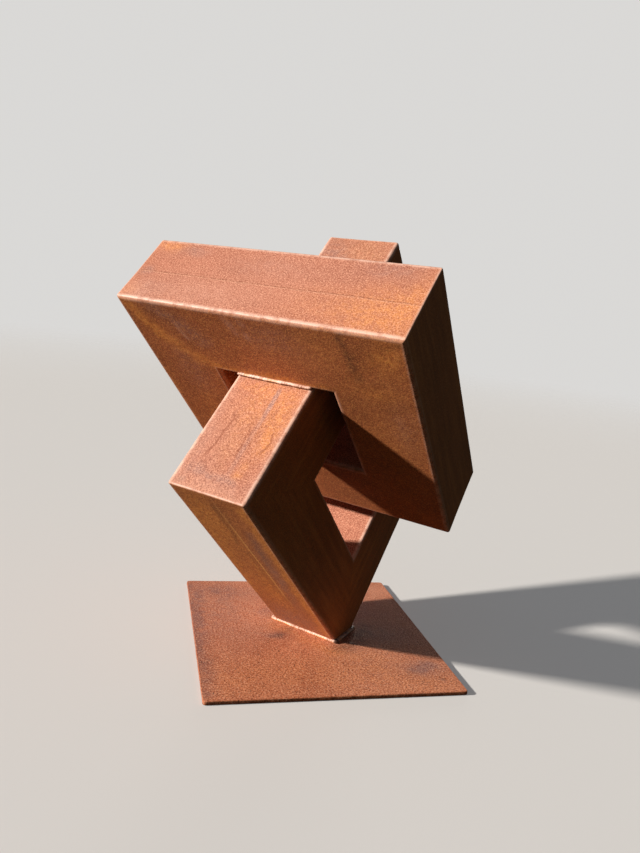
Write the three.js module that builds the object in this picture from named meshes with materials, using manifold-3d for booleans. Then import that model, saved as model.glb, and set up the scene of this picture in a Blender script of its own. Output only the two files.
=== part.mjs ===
// Abstract metal sculpture: two linked square rings of square hollow steel
// section, welded to each other and standing on one corner on a thin square
// steel plate.
//
// Row frame, millimetres, +Z up. The origin is the centre of the plate's
// underside. The plate's sides run along X and Y, and -Y is the front.
//
// Ring frame: x runs up one side of the lower ring, y down the next side,
// z along the thickness of the lower ring. The lower ring lies in the ring
// frame's x-y plane, the upper ring in its y-z plane.
import * as THREE from 'three';
import Module from 'manifold-3d';
import { mergeVertices } from 'three/addons/utils/BufferGeometryUtils.js';

// ---- driving dimensions -------------------------------------------------
const TUBE = 100;              // side of the square hollow section
const TUBE_EDGE_R = 4;         // rounding of its long edges
const LOWER_SIDE = 400;        // outer side of the lower ring
const UPPER_SIDE = 350;        // outer side of the upper ring
const PLATE_SIDE = 330;        // base plate
const PLATE_T = 5;
const PLATE_CORNER_R = 4;
const HEADING_DEG = 136.7;     // where the lower ring's thickness axis points
const LEAN_DEG = 1.3;          // how far that axis rises from level
const STANCE_DEG = 46.6;       // slope of the lower ring's rising sides
const FOOT = [7, 17];          // the standing corner, from the plate's centre
const FOOT_CUT = 24;           // how much of the corner the plate cuts away
const UPPER_ALONG = 2;         // how far the upper ring sits above the middle of its bar
const UPPER_ACROSS = 1;        // and how far off centre across that bar
const GAP = 0.3;               // clearance between pieces that touch
const FOOT_WELD_LEG = 7;       // fillet weld round the foot
const FOOT_WELD_H = 6;
const BEAD = 6;                // leg of the weld between the two rings
const ARC_STEPS = 6;           // facets on each rounded tube edge

const RUST = { color: 0x8a4526, roughness: 0.85, metalness: 0.15 };
const RUST_PLATE = { color: 0x96543c, roughness: 0.9, metalness: 0.1 };
const RUST_WELD = { color: 0xa8745a, roughness: 0.75, metalness: 0.25 };

const wasm = await Module();
wasm.setup();

const rad = (d) => (d * Math.PI) / 180;

// ---- helpers ------------------------------------------------------------
// Rounded rectangle from (0, 0) to (w, h), drawn counter-clockwise.
function roundedRect(w, h, r, steps) {
  const pts = [];
  const centres = [[w - r, r, -90], [w - r, h - r, 0], [r, h - r, 90], [r, r, 180]];
  for (const [cx, cy, start] of centres) {
    for (let i = 0; i <= steps; i++) {
      const t = rad(start + (90 * i) / steps);
      pts.push(new THREE.Vector2(cx + r * Math.cos(t), cy + r * Math.sin(t)));
    }
  }
  return new THREE.Shape(pts);
}

function weld(geometry) {
  const g = geometry.clone();
  for (const name of Object.keys(g.attributes)) {
    if (name !== 'position') g.deleteAttribute(name);
  }
  return mergeVertices(g, 1e-4);
}

function toManifold(geometry) {
  const g = weld(geometry);
  return new wasm.Manifold(new wasm.Mesh({
    numProp: 3,
    vertProperties: new Float32Array(g.attributes.position.array),
    triVerts: new Uint32Array(g.index.array),
  }));
}

function fromManifold(solid) {
  const m = solid.getMesh();
  const g = new THREE.BufferGeometry();
  const n = m.numProp;
  const count = m.vertProperties.length / n;
  const pos = new Float32Array(count * 3);
  for (let i = 0; i < count; i++) {
    for (let k = 0; k < 3; k++) pos[3 * i + k] = m.vertProperties[n * i + k];
  }
  g.setAttribute('position', new THREE.BufferAttribute(pos, 3));
  g.setIndex(new THREE.BufferAttribute(new Uint32Array(m.triVerts), 1));
  return g;
}

function mesh(name, geometry, look) {
  const g = weld(geometry);
  g.computeVertexNormals();
  const m = new THREE.Mesh(g, new THREE.MeshStandardMaterial(look));
  m.name = name;
  return m;
}

// One side of a square ring: a length of tube with a 45 degree mitre at both
// ends. Its outer face lies on y = 0, its length runs along +x from the
// ring's corner, its inner side is towards +y and its thickness towards +z.
function mitredTube(side) {
  const section = roundedRect(TUBE, TUBE, TUBE_EDGE_R, ARC_STEPS);
  const g = new THREE.ExtrudeGeometry(section, { depth: side, steps: 1, bevelEnabled: false });
  const p = g.attributes.position;
  const back = (GAP / 2) * Math.SQRT2;      // half the clearance, along the tube
  for (let i = 0; i < p.count; i++) {
    const inner = p.getX(i);                // distance from the outer face
    const thick = p.getY(i);
    const along = p.getZ(i) < side / 2 ? inner + back : side - inner - back;
    p.setXYZ(i, along, inner, thick);
  }
  // section x, section y, length became y, z, x: a rotation, so faces still
  // point out
  return g;
}

// Four mitred tubes round a square whose first corner is the group's origin.
function squareRing(side, names, trims = {}) {
  const ring = new THREE.Group();
  const corners = [[0, 0], [side, 0], [side, side], [0, side]];
  names.forEach((name, k) => {
    let g = mitredTube(side);
    const place = new THREE.Matrix4().makeRotationZ((k * Math.PI) / 2);
    place.setPosition(corners[k][0], corners[k][1], 0);
    if (trims[name]) {
      // trims[name] is a cutting solid in the ring's frame
      const cutter = trims[name].clone().applyMatrix4(place.clone().invert());
      g = fromManifold(toManifold(g).subtract(toManifold(cutter)));
    }
    const m = mesh(name, g, RUST);
    m.rotation.z = (k * Math.PI) / 2;
    m.position.set(corners[k][0], corners[k][1], 0);
    ring.add(m);
  });
  return ring;
}

// ---- where the linked rings stand ---------------------------------------
const zAxis = new THREE.Vector3(
  Math.cos(rad(HEADING_DEG)) * Math.cos(rad(LEAN_DEG)),
  Math.sin(rad(HEADING_DEG)) * Math.cos(rad(LEAN_DEG)),
  Math.sin(rad(LEAN_DEG)),
);
const level = new THREE.Vector3(Math.sin(rad(HEADING_DEG)), -Math.cos(rad(HEADING_DEG)), 0);
const upright = new THREE.Vector3().crossVectors(level, zAxis);
const xAxis = level.clone().multiplyScalar(Math.cos(rad(STANCE_DEG)))
  .addScaledVector(upright, Math.sin(rad(STANCE_DEG)));
const yAxis = level.clone().multiplyScalar(Math.sin(rad(STANCE_DEG)))
  .addScaledVector(upright, -Math.cos(rad(STANCE_DEG)));

// The uncut standing corner is FOOT_CUT below the plate's top face.
const corner = new THREE.Vector3(FOOT[0], FOOT[1], PLATE_T - FOOT_CUT)
  .addScaledVector(yAxis, -LOWER_SIDE)
  .addScaledVector(zAxis, -TUBE / 2);

const ringFrame = new THREE.Matrix4().makeBasis(xAxis, yAxis, zAxis).setPosition(corner);

const linked = new THREE.Group();
linked.quaternion.setFromRotationMatrix(ringFrame);
linked.position.copy(corner);

// ---- lower ring ---------------------------------------------------------
// Everything below the plate's top face is cut from its two lower bars.
const belowPlate = new THREE.BoxGeometry(600, 600, 200);
belowPlate.translate(0, 0, PLATE_T + GAP - 100);
belowPlate.applyMatrix4(ringFrame.clone().invert());

const lowerRing = squareRing(LOWER_SIDE, [
  'lower_ring_front_upper_bar',
  'lower_ring_rear_upper_bar',
  'lower_ring_rear_lower_bar',
  'lower_ring_front_lower_bar',
], {
  lower_ring_rear_lower_bar: belowPlate,
  lower_ring_front_lower_bar: belowPlate,
});
linked.add(lowerRing);

// ---- upper ring ---------------------------------------------------------
// Its plane is the ring frame's y-z plane. It is centred on the lower ring's
// front upper bar, and the inner face of its top bar rests on that bar.
const upperRing = squareRing(UPPER_SIDE, [
  'upper_ring_top_bar',
  'upper_ring_left_bar',
  'upper_ring_bottom_bar',
  'upper_ring_right_bar',
]);
// own x (along the first bar) -> ring frame z, own y (inwards) -> y,
// own z (thickness) -> -x
upperRing.quaternion.setFromRotationMatrix(new THREE.Matrix4().makeBasis(
  new THREE.Vector3(0, 0, 1), new THREE.Vector3(0, 1, 0), new THREE.Vector3(-1, 0, 0)));
upperRing.position.set(
  LOWER_SIDE / 2 + TUBE / 2 + UPPER_ALONG,
  -TUBE - GAP,
  TUBE / 2 - UPPER_SIDE / 2 + UPPER_ACROSS,
);
linked.add(upperRing);

// ---- welds between the rings --------------------------------------------
// Each bead fills the groove between the flat top of the lower bar (y = 0)
// and the rounded lower edge of the upper ring's top bar.
function ringBead(name, mirrored) {
  const r = TUBE_EDGE_R;
  const pts = [];
  pts.push(new THREE.Vector2(-BEAD, -GAP));
  // under the rounded edge, along an arc GAP away from it
  const low = Math.acos(Math.min(1, (r - 0) / (r + GAP)));
  for (let i = 0; i <= ARC_STEPS; i++) {
    const t = low + ((Math.PI / 2 - low) * i) / ARC_STEPS;
    pts.push(new THREE.Vector2(r - (r + GAP) * Math.sin(t), -GAP - r + (r + GAP) * Math.cos(t)));
  }
  pts.push(new THREE.Vector2(-GAP, -BEAD));
  // convex outer skin of the bead
  const steps = 5;
  for (let i = 1; i < steps; i++) {
    const t = i / steps;
    const x = -GAP + (GAP - BEAD) * t;
    const y = -BEAD + (BEAD - GAP) * t;
    const bulge = 1.1 * Math.sin(Math.PI * t);
    pts.push(new THREE.Vector2(x - bulge * Math.SQRT1_2, y - bulge * Math.SQRT1_2));
  }
  const shape = new THREE.Shape(pts);
  const g = new THREE.ExtrudeGeometry(shape, { depth: TUBE - 4, steps: 1, bevelEnabled: false });
  g.translate(0, 0, 2);
  if (mirrored) {
    // turned end for end about y, so it faces the other way
    g.rotateY(Math.PI);
    g.translate(0, 0, TUBE);
  }
  const m = mesh(name, g, RUST_WELD);
  m.position.set(LOWER_SIDE / 2 + UPPER_ALONG + (mirrored ? 1 : -1) * (TUBE / 2), 0, 0);
  return m;
}
linked.add(ringBead('front_ring_weld', false));
linked.add(ringBead('rear_ring_weld', true));

// ---- base plate ---------------------------------------------------------
const plateShape = roundedRect(PLATE_SIDE, PLATE_SIDE, PLATE_CORNER_R, 4);
const plateGeometry = new THREE.ExtrudeGeometry(plateShape, { depth: PLATE_T, steps: 1, bevelEnabled: false });
plateGeometry.translate(-PLATE_SIDE / 2, -PLATE_SIDE / 2, 0);
const basePlate = mesh('base_plate', plateGeometry, RUST_PLATE);

// ---- weld round the foot ------------------------------------------------
// A fillet that follows the foot's outline on the plate, with the foot's own
// sloping corner cut out of it.
function footWeld() {
  // outline of the foot at the height of the plate's top face
  const top = PLATE_T;
  const outline = [];
  for (const z of [0, TUBE]) {
    for (const side of ['x', 'y']) {
      // a point on the outer edge x = 0 (front) or y = LOWER_SIDE (rear)
      const start = new THREE.Vector3(0, LOWER_SIDE, z).applyMatrix4(ringFrame);
      const dir = side === 'x' ? yAxis.clone().negate() : xAxis.clone();
      const t = (top - start.z) / dir.z;
      outline.push(start.addScaledVector(dir, t));
    }
  }
  const centre = outline.reduce((s, p) => s.add(p), new THREE.Vector3()).multiplyScalar(0.25);
  const halfLevel = outline[0].distanceTo(outline[1]) / 2;
  const block = (leg, height, lift) => {
    const w = 2 * (halfLevel + leg);
    const l = TUBE + 2 * leg;
    const s = roundedRect(l, w, leg * 0.8, 5);
    const g = new THREE.ExtrudeGeometry(s, { depth: height, steps: 1, bevelEnabled: false });
    g.translate(-l / 2, -w / 2, lift);
    return g;
  };
  const g = block(FOOT_WELD_LEG, FOOT_WELD_H, 0);
  // slope the outer faces inwards towards the top
  const p = g.attributes.position;
  const flatLevel = halfLevel + 1.5;
  for (let i = 0; i < p.count; i++) {
    if (p.getZ(i) < FOOT_WELD_H / 2) continue;
    const kx = (TUBE / 2 + 0.8) / (TUBE / 2 + FOOT_WELD_LEG);
    const ky = (flatLevel + FOOT_WELD_H * 0.9) / (halfLevel + FOOT_WELD_LEG);
    p.setX(i, p.getX(i) * kx);
    p.setY(i, p.getY(i) * ky);
  }
  const heading = Math.atan2(zAxis.y, zAxis.x);
  g.rotateZ(heading);
  g.translate(centre.x, centre.y, top + GAP);
  // the ring's corner, a clearance larger all round
  const c = new THREE.BoxGeometry(200 + GAP, 200 + GAP, TUBE + 2 * GAP);
  c.translate(100 - GAP / 2, LOWER_SIDE - 100 + GAP / 2, TUBE / 2);
  c.applyMatrix4(ringFrame);
  return fromManifold(toManifold(g).subtract(toManifold(c)));
}
const footWeldMesh = mesh('foot_weld', footWeld(), RUST_WELD);

const group = new THREE.Group();
group.add(basePlate, footWeldMesh, linked);
group.updateMatrixWorld(true);

export default group;
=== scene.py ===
import math

import bpy
import numpy as np
from mathutils import Matrix, Vector


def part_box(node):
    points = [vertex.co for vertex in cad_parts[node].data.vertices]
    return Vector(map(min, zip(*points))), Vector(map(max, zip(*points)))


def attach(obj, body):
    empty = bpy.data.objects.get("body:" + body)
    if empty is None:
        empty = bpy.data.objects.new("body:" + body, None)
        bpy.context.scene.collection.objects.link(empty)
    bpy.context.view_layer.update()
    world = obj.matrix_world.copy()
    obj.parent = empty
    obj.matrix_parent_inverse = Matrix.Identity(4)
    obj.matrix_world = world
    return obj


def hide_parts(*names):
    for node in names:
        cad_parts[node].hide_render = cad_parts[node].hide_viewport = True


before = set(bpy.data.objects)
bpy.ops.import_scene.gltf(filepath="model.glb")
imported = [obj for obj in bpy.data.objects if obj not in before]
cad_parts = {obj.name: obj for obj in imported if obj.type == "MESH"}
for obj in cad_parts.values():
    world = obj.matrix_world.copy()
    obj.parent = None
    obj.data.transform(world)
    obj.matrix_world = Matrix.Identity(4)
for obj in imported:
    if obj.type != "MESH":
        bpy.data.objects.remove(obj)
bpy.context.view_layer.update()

MM = 0.001
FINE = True

# ---- sizes shared with the CAD, in millimetres --------------------------
TUBE = 100.0
EDGE_R = 4.0
LOWER = 400.0
UPPER = 350.0
PLATE = 330.0
PLATE_T = 5.0
PLATE_R = 4.0
GAP = 0.3
HEADING, LEAN, STANCE = math.radians(136.7), math.radians(1.3), math.radians(46.6)
FOOT = (7.0, 17.0)
FOOT_CUT = 24.0
UPPER_AT = (LOWER / 2 + TUBE / 2 + 2.0, -TUBE - GAP, TUBE / 2 - UPPER / 2 + 1.0)

# ---- the ring frame: the same construction as the CAD's -----------------
z_axis = Vector((math.cos(HEADING) * math.cos(LEAN), math.sin(HEADING) * math.cos(LEAN), math.sin(LEAN)))
level = Vector((math.sin(HEADING), -math.cos(HEADING), 0.0))
upright = level.cross(z_axis)
x_axis = level * math.cos(STANCE) + upright * math.sin(STANCE)
y_axis = level * math.sin(STANCE) - upright * math.cos(STANCE)
corner = Vector((FOOT[0], FOOT[1], PLATE_T - FOOT_CUT)) - y_axis * LOWER - z_axis * (TUBE / 2)
AXES = np.array([x_axis, y_axis, z_axis])          # rows: ring axes in the row frame
CORNER = np.array(corner)


def to_row(q):
    """Ring frame millimetres to row frame millimetres."""
    return np.asarray(q, float) @ AXES + CORNER


def to_ring(p):
    return (np.asarray(p, float) - CORNER) @ AXES.T


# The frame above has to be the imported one.
_low, _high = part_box("upper_ring_top_bar")
_ends = to_row([[UPPER_AT[0] - w, UPPER_AT[1] + v, UPPER_AT[2] + x]
                for w in (0, TUBE) for v, xs in ((0, (0, UPPER)), (TUBE, (TUBE, UPPER - TUBE))) for x in xs])
if np.abs(_ends.max(0) * MM - np.array(_high)).max() > 0.003 or np.abs(_ends.min(0) * MM - np.array(_low)).max() > 0.003:
    raise SystemExit("the packed rings don't stand where this script puts them")


# ---- smooth random relief ----------------------------------------------
_table = np.random.RandomState(20).normal(size=(256, 3))
_table /= np.linalg.norm(_table, axis=1, keepdims=True)


def wander(p, size, seed=0, octaves=1, fade=0.5):
    """Gradient noise over points in millimetres, one cell per size, about -1 to 1."""
    total, weight = 0.0, 1.0
    for octave in range(octaves):
        g = p / size * (2 ** octave) + seed * 17.31 + octave * 5.7
        base = np.floor(g).astype(np.int64)
        f = g - base
        u = f * f * f * (f * (f * 6 - 15) + 10)
        value = 0.0
        for dx in (0, 1):
            for dy in (0, 1):
                for dz in (0, 1):
                    h = ((base[:, 0] + dx) * 374761393 + (base[:, 1] + dy) * 668265263
                         + (base[:, 2] + dz) * 2147483647 + seed * 974711) & 0xFFFFFFFF
                    h = ((h ^ (h >> 13)) * 1274126177) & 0xFFFFFFFF
                    h = (h ^ (h >> 16)) & 255
                    d = f - np.array([dx, dy, dz])
                    w = ((u[:, 0] if dx else 1 - u[:, 0]) * (u[:, 1] if dy else 1 - u[:, 1])
                         * (u[:, 2] if dz else 1 - u[:, 2]))
                    value = value + w * (_table[h] * d).sum(1)
        total = total + weight * value * 1.6
        weight *= fade
    return total


def smooth(x, low, high):
    t = np.clip((x - low) / (high - low), 0, 1)
    return t * t * (3 - 2 * t)


def blob(q, centre, radii, strength=1.0):
    d = (q - np.array(centre)) / np.array(radii)
    return strength * np.exp(-(d * d).sum(1))


def stroke(q, path, width, strength=1.0, ends=None):
    """A soft brush stroke along a path. ends gives its strength at each point."""
    path = np.array(path, float)
    ends = np.ones(len(path)) if ends is None else np.array(ends, float)
    best = np.zeros(len(q))
    for i in range(len(path) - 1):
        a, b = path[i], path[i + 1]
        ab = b - a
        t = np.clip(((q - a) @ ab) / (ab @ ab), 0, 1)
        d = np.linalg.norm(q - (a + t[:, None] * ab), axis=1)
        best = np.maximum(best, (ends[i] + (ends[i + 1] - ends[i]) * t) * np.exp(-(d / width) ** 2))
    return strength * best


def new_mesh(name, points, faces, attributes):
    """A mesh object from points in metres, with float or vector attributes on its points."""
    mesh = bpy.data.meshes.new(name)
    mesh.from_pydata(points.tolist(), [], faces.tolist() if hasattr(faces, "tolist") else faces)
    mesh.update()
    for key, values in attributes.items():
        values = np.asarray(values, np.float32)
        if values.ndim == 1:
            mesh.attributes.new(key, "FLOAT", "POINT").data.foreach_set("value", values)
        else:
            mesh.attributes.new(key, "FLOAT_VECTOR", "POINT").data.foreach_set("vector", values.ravel())
    obj = bpy.data.objects.new(name, mesh)
    bpy.context.scene.collection.objects.link(obj)
    return obj


def shade_smooth(obj):
    obj.data.polygons.foreach_set("use_smooth", np.ones(len(obj.data.polygons), bool))


# ---- square rings of mitred tube ---------------------------------------
def section(flats, arcs):
    """The tube's outline as (inwards, across the thickness, outward normal, edge nearness)."""
    r = EDGE_R
    length = TUBE - 2 * r
    inner = np.linspace(0.7, length - 0.7, flats - 1)
    flat = np.concatenate([[0.0], inner])            # up to the next arc's first point
    rows = []
    # (start of the flat, direction of the flat, outward normal, centre of the arc after it)
    sides = [((0, r), (0, 1), (-1, 0), (r, TUBE - r)),
             ((r, TUBE), (1, 0), (0, 1), (TUBE - r, TUBE - r)),
             ((TUBE, TUBE - r), (0, -1), (1, 0), (TUBE - r, r)),
             ((TUBE - r, 0), (-1, 0), (0, -1), (r, r))]
    for i, (start, along, normal, centre) in enumerate(sides):
        for s in flat:
            away = min(s, length - s)
            rows.append((start[0] + along[0] * s, start[1] + along[1] * s, normal[0], normal[1],
                         math.exp(-(away / 1.6) ** 2)))
        after = sides[(i + 1) % 4][2]
        for k in range(arcs):
            t = math.pi / 2 * k / arcs
            n = (normal[0] * math.cos(t) + after[0] * math.sin(t), normal[1] * math.cos(t) + after[1] * math.sin(t))
            rows.append((centre[0] + r * n[0], centre[1] + r * n[1], n[0], n[1], 1.0))
    return np.array(rows)


def stations(side, count):
    """Where the section is repeated along a bar, 0 to 1 without the end: closer at the mitres."""
    near = np.array([0.0, 0.45, 0.9, 1.4, 2.0, 3.0, 4.4]) / side
    middle = np.linspace(near[-1], 1 - near[-1], count - 2 * len(near) + 2)
    return np.concatenate([near, middle[1:-1], 1 - near[:0:-1]])


def ring_surface(side, place, count, flats, arcs, seed):
    """Points of a square ring in the ring frame, its faces, and what the finish needs to know at each point."""
    sec = section(flats, arcs)
    ts = stations(side, count)
    ns, nt = len(sec), len(ts)
    v0, w0, nv, nw, edge = (np.tile(sec[:, i], nt) for i in range(5))
    t = np.repeat(ts, ns)
    corners = [(0, 0), (side, 0), (side, side), (0, side)]
    points, nominal, normals, extra = [], [], [], []
    for k in range(4):
        turn = k * math.pi / 2
        ck, sk = round(math.cos(turn)), round(math.sin(turn))

        def local(along, inner, thick):
            own = np.stack([corners[k][0] + ck * along - sk * inner, corners[k][1] + sk * along + ck * inner, thick], 1)
            return place(own)

        along0 = v0 + t * (side - 2 * v0)
        q = local(along0, v0, w0)
        from_mitre = np.minimum(t, 1 - t) * (side - 2 * v0) / math.sqrt(2)
        # ground weld along the mitre on the flat sides, irregular in width and depth
        width = 7 + 3.5 * wander(q, 26, seed + 3)
        ground = np.exp(-(from_mitre / width) ** 2) * (0.75 + 0.25 * wander(q, 9, seed + 4))
        sunk = (0.10 * (0.5 + 0.5 * wander(q, 85, seed)) + 0.10 * (0.5 + 0.5 * wander(q, 30, seed + 1, 2))
                + 0.07 * (0.5 + 0.5 * wander(q, 8, seed + 2, 2)) + 0.10 * ground)
        # the drawn faces are a little hollow between the edges
        across = np.where(np.abs(nv) > 0.9, w0, v0) - TUBE / 2
        hollow = np.where(np.maximum(np.abs(nv), np.abs(nw)) > 0.999, 0.18 * np.clip(1 - (across / 46) ** 2, 0, 1), 0)
        sunk = np.clip(sunk + hollow, 0.0, 0.7)
        v, w = v0 - nv * sunk, w0 - nw * sunk
        # the outer mitre edge, ground round
        start = t < 0.5
        d = np.where(start, t, 1 - t) * side
        rc = 1.7 + 0.6 * wander(q, 24, seed + 5)
        theta = math.pi / 4 * np.clip(1 - d / rc, 0, 1)
        out = np.clip(-nv, 0, 1) * (d < rc)
        slide = (rc - rc * np.sin(theta) - d) * out
        drop = rc * (1 - np.cos(theta)) * out
        along = v + t * (side - 2 * v) + np.where(start, slide, -slide)
        points.append(local(along, v + drop, w))
        nominal.append(q)
        n_own = np.stack([-sk * nv, ck * nv, nw], 1)
        normals.append(place(n_own, True))
        crest = np.clip(-nv, 0, 1) * np.exp(-(np.maximum(d - 0.6, 0) / 1.5) ** 2)
        grain_axis = np.array([ck, sk, 0.0])
        grain_axis = np.abs(place(grain_axis[None, :], True)[0])
        extra.append(np.stack([edge, crest, ground, across, np.full(len(t), k),
                               *(np.tile(grain_axis, (len(t), 1)).T)], 1))
    points, nominal, normals, extra = (np.concatenate(a) for a in (points, nominal, normals, extra))
    total = 4 * nt
    i, j = np.meshgrid(np.arange(total), np.arange(ns), indexing="ij")
    i2, j2 = (i + 1) % total, (j + 1) % ns
    faces = np.stack([i * ns + j, i * ns + j2, i2 * ns + j2, i2 * ns + j], -1).reshape(-1, 4)
    # faces point out
    a, b, c = (points[faces[:, n]] for n in (0, 1, 2))
    if (np.cross(b - a, c - a) * normals[faces[:, 0]]).sum() < 0:
        faces = faces[:, ::-1]
    return points, faces, nominal, normals, extra


def upper_place(own, direction=False):
    shift = (0, 0, 0) if direction else UPPER_AT
    return np.stack([shift[0] - own[:, 2], shift[1] + own[:, 1], shift[2] + own[:, 0]], 1)


def lower_place(own, direction=False):
    return own.copy()


def grain_coordinates(q, extra):
    """The ring coordinates, drawn out along each bar, in metres, for streaks."""
    stretch = 1 - 0.93 * extra[:, 5:8]
    return q * stretch * MM + extra[:, 4:5] * 0.37


def on_face(q, normals, axis, sign, place, depth=5.0):
    """1 on one flat face of the rings, falling to 0 over its rounded edges."""
    facing = smooth(normals[:, axis] * sign, 0.75, 0.98)
    return facing * (np.abs(q[:, axis] - place) < depth)


def common_finish(q, normals, extra, seed):
    warp = np.stack([wander(q, 22, seed + i, 2) for i in (31, 32, 33)], 1)
    return q + 5.0 * warp


def off_line(q, path, across, along):
    """Signed distance, in millimetres across a face, from a line drawn along it."""
    path = np.array(path, float)
    path = path[np.argsort(path[:, 0])]
    return q[:, across] - np.interp(q[:, along], path[:, 0], path[:, 1])


# wavy run lines on the lower ring's top face, as (along the bar, across it)
RUNS = ([(38, 77), (48, 75.5), (58, 73), (66, 72), (76, 72.5), (86, 71), (92, 69.5), (104, 71)],
        [(38, 38), (47, 41.5), (56, 43), (64, 42), (72, 43.5), (82, 43), (92, 47), (104, 46)],
        [(56, 20), (64, 15.5), (70, 14), (77, 12), (84, 15), (92, 16)])


def upper_finish(q, normals, extra):
    p = common_finish(q, normals, extra, 40)
    front = on_face(q, normals, 0, -1, 152)
    top = on_face(q, normals, 1, -1, -100.3)
    right = on_face(q, normals, 2, -1, -124)
    orange = front * (stroke(p, [(152, -94, 216), (152, -62, 199), (152, -43, 184), (152, -24, 162), (152, -9, 136), (152, -2, 120)],
                             9.5, 1.3, (0.85, 1, 1, 0.9, 0.6, 0.5))
                      + blob(p, (152, -70, -101), (30, 24, 20), 0.75)
                      + blob(p, (152, -14, -82), (30, 11, 26), 0.55)
                      + blob(p, (152, -70, -25), (30, 28, 26), 0.35)
                      + blob(p, (152, 75, -80), (30, 70, 40), 0.30)
                      + stroke(p, [(152, -5, 122), (152, -5, 60), (152, -5, -16)], 5, 1.1)
                      + stroke(p, [(152, -98, -20), (152, -98, -120)], 4, 0.5)
                      + stroke(p, [(152, 10, 222), (152, 120, 222)], 5, 0.5)
                      + stroke(p, [(152, 60, 170), (152, 180, 180)], 14, 0.3))
    orange += top * (blob(p, (178, -100, -92), (34, 30, 38), 0.75) + blob(p, (245, -100, 205), (9, 30, 26), 0.9)
                     + blob(p, (182, -100, -40), (26, 30, 55), 0.3) + blob(p, (205, -100, -112), (30, 30, 12), 0.5)
                     + blob(p, (165, -100, 212), (9, 30, 12), 0.5))
    purple = top * (blob(p, (236, -100, 168), (9, 30, 20), 0.75) + blob(p, (238, -100, -80), (15, 30, 40), 0.65)
                    + blob(p, (197, -100, 213), (6, 30, 9), 1.0) + blob(p, (225, -100, 60), (16, 30, 60), 0.30)
                    + blob(p, (170, -100, 190), (12, 30, 22), 0.35))
    purple += front * (stroke(p, [(152, -92, 175), (152, -74, 150), (152, -50, 128)], 13, 0.7)
                       + blob(p, (152, 10, 170), (30, 40, 22), 0.45) + blob(p, (152, -70, 30), (30, 22, 40), 0.4)
                       + blob(p, (152, 40, -100), (30, 40, 16), 0.35))
    dark = front * (stroke(p, [(152, -88, -56), (152, -60, -62), (152, -34, -62)], 8, 0.85) + blob(q, (152, -91, -116), (30, 2.6, 4.5), 1.0)
                    + stroke(p, [(152, -2, 122), (152, -2, 60), (152, -2, -20)], 3.0, 0.55))
    pale = top * (blob(p, (172, -100, 130), (26, 30, 90), 0.6) + blob(p, (165, -100, 205), (14, 30, 22), 0.5)
                  + blob(p, (220, -100, 20), (40, 30, 90), 0.25))
    pale += front * (stroke(p, [(152, -92, 80), (152, -70, 74)], 4.5, 0.6) + stroke(p, [(152, -92, 62), (152, -66, 60)], 4.5, 0.6)
                     + stroke(q, [(152, -68, 154), (152, -56, 153), (152, -48, 149)], 2.4, 0.9))
    # painted shade: the right face and the faces inside the opening are marked for a darker skin
    shade = right * 0.9 + on_face(q, normals, 1, 1, -0.3, 5) * 0.5 + on_face(q, normals, 1, -1, 149.7, 5) * 0.3
    seam = np.where(extra[:, 4] == 0, q[:, 0] - (198.0 + 0.5 * wander(q * np.array([0, 0, 1.0]), 40, 9)), 60.0)
    seam_on = top * (extra[:, 4] == 0)
    return (orange, purple, dark, pale, shade, seam, seam_on, seam_on * 0.0, seam_on * 0.0, top * 0.10,
            np.zeros((len(q), 3)))


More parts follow.
